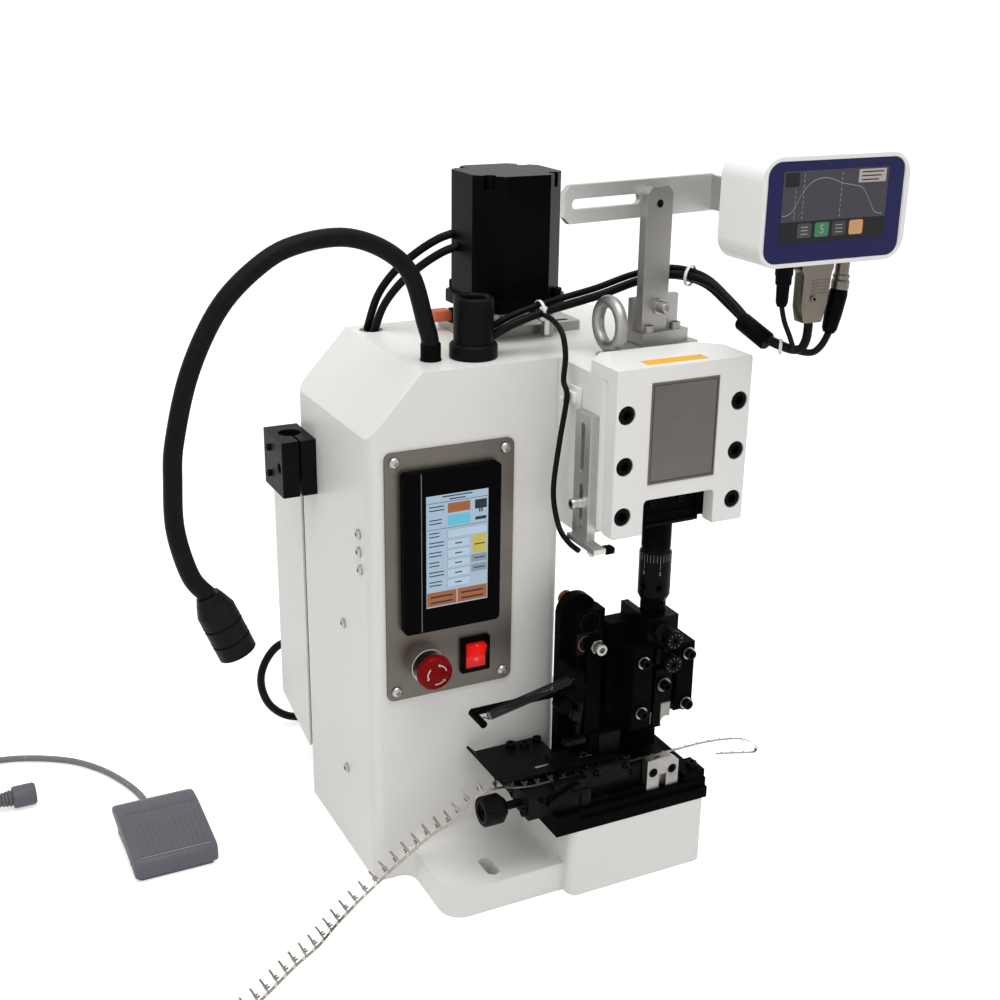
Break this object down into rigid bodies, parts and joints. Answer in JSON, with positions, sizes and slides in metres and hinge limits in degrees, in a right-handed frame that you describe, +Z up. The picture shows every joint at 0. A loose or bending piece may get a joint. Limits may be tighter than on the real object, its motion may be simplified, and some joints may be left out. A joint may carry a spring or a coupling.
{
  "type": "terminal crimping machine",
  "caption": "Bench press that crimps terminals from a strip onto wire, with a feeding applicator, force monitor, work lamp and foot pedal.",
  "frame": {"origin": "on the ram axis at bench level, in the plane of the base's underside", "axes": "+X to the machine's right, +Y to its back, +Z up"},
  "size_m": [0.7369, 0.562, 0.608],
  "materials": {
    "cast_paint": "semi-gloss, light warm grey, lightly textured",
    "cover_paint": "semi-gloss white",
    "black_oxide": "black oxide, oiled satin",
    "bright_steel": "ground steel",
    "zinc": "zinc plated",
    "panel_metal": "brushed",
    "anodised": "black anodised",
    "motor_black": "gloss black",
    "black_plastic": "fine matte",
    "white_plastic": "satin white",
    "red_plastic": "gloss red",
    "grey_plastic": "matte grey",
    "cord_black": "satin black jacket",
    "cord_grey": "satin grey jacket",
    "tinned": "tinned brass strip"
  },
  "bodies": {
    "machine": {"frame_casting": "cast_paint", "rear_cover": "cast_paint", "head_cover": "cover_paint", "socket_screws": "black_oxide", "control_panel": "panel_metal", "pan_head_screws": "zinc", "touchscreen_housing": "black_plastic", "estop_collar": "zinc", "rocker_frame": "black_plastic", "reel_arm_block": "black_oxide", "motor_mount": "zinc", "motor_body": "motor_black", "motor_end_cap": "motor_black", "worm_gearbox": "panel_metal", "crank_bearings": "bright_steel", "slide_gibs": "bright_steel", "applicator_base": "black_oxide", "applicator_frame": "black_oxide", "applicator_gibs": "black_oxide", "applicator_screws": "black_oxide", "anvil_block": "bright_steel", "feed_bracket": "black_oxide", "feed_spring": "bright_steel", "strip_track": "black_oxide", "guide_plate": "black_oxide", "lamp_gooseneck": "black_plastic", "lamp_head": "anodised", "tube_socket": "black_oxide", "eye_bolt": "zinc", "bracket_post": "panel_metal", "monitor_arm": "panel_metal", "monitor_housing": "white_plastic", "monitor_plugs": "zinc", "held_leads": "cord_black", "sensor_bracket": "zinc", "sensor_lead": "cord_black", "pedal_base": "grey_plastic", "pedal_cord": "cord_grey", "pedal_cord_coil": "cord_grey", "pedal_plug": "grey_plastic", "mains_gland": "black_plastic", "mains_cord": "cord_black", "mains_cord_coil": "cord_black", "mains_plug": "black_plastic", "terminal_strip": "tinned"},
    "crank": {"crankshaft": "bright_steel"},
    "ram": {"slide_block": "black_oxide", "ram_post": "black_oxide", "applicator_ram": "black_oxide", "crimper": "bright_steel"},
    "adjuster": {"adjuster_dial": "black_oxide"},
    "wire_height": {"wire_dial": "black_oxide"},
    "insulation_height": {"insulation_dial": "black_oxide"},
    "feed_arm": {"feed_lever": "black_oxide"},
    "stop_stem": {"estop_plunger": "black_plastic"},
    "stop_button": {"estop_cap": "red_plastic"},
    "rocker": {"rocker_button": "red_plastic"},
    "strip_release": {"release_lever": "black_oxide"},
    "track_screw": {"thumb_knob": "anodised"},
    "pedal": {"pedal_cover": "grey_plastic"}
  },
  "joints": [
    {"name": "crank_turn", "type": "hinge", "parent": "machine", "child": "crank", "pos_m": [0, 0.1, 0.375], "axis": [0, 1, 0], "range_deg": [0, 180]},
    {"name": "ram_slide", "type": "slide", "parent": "machine", "child": "ram", "axis": [0, 0, -1], "range_m": [0, 0.03]},
    {"name": "shut_height_turn", "type": "hinge", "parent": "ram", "child": "adjuster", "pos_m": [0, 0, 0.27], "axis": [0, 0, 1], "range_deg": [-180, 180]},
    {"name": "wire_dial_turn", "type": "hinge", "parent": "ram", "child": "wire_height", "pos_m": [0, -0.03, 0.2235], "axis": [0, 1, 0], "range_deg": [0, 270]},
    {"name": "insulation_dial_turn", "type": "hinge", "parent": "ram", "child": "insulation_height", "pos_m": [0, -0.03, 0.202], "axis": [0, 1, 0], "range_deg": [0, 270]},
    {"name": "feed_swing", "type": "hinge", "parent": "machine", "child": "feed_arm", "pos_m": [-0.05, 0.02, 0.212], "axis": [0, 1, 0], "range_deg": [0, 6]},
    {"name": "stop_push", "type": "slide", "parent": "machine", "child": "stop_stem", "axis": [0, 1, 0], "range_m": [0, 0.004]},
    {"name": "stop_twist", "type": "hinge", "parent": "stop_stem", "child": "stop_button", "pos_m": [-0.178, 0.04, 0.1985], "axis": [0, 1, 0], "range_deg": [0, 45], "stiffness_Nm_per_rad": 0.05},
    {"name": "rocker_tilt", "type": "hinge", "parent": "machine", "child": "rocker", "pos_m": [-0.1341, 0.065, 0.1985], "axis": [-1, 0, 0], "range_deg": [0, 18]},
    {"name": "strip_release_turn", "type": "hinge", "parent": "machine", "child": "strip_release", "pos_m": [-0.079, -0.022, 0.1], "axis": [0, 1, 0], "range_deg": [0, 30]},
    {"name": "track_screw_turn", "type": "hinge", "parent": "machine", "child": "track_screw", "pos_m": [-0.13, -0.004, 0.088], "axis": [1, 0, 0], "range_deg": [-180, 180]},
    {"name": "pedal_press", "type": "hinge", "parent": "machine", "child": "pedal", "pos_m": [-0.372, 0.16, 0.012], "axis": [-1, 0, 0], "range_deg": [0, 5], "stiffness_Nm_per_rad": 4, "springref_deg": -11.46}
  ],
  "couplings": [
    {"joint": "ram_slide", "follows": "crank_turn", "m_per_rad": 0.009549},
    {"joint": "feed_swing", "follows": "crank_turn", "ratio": 0.033333}
  ]
}
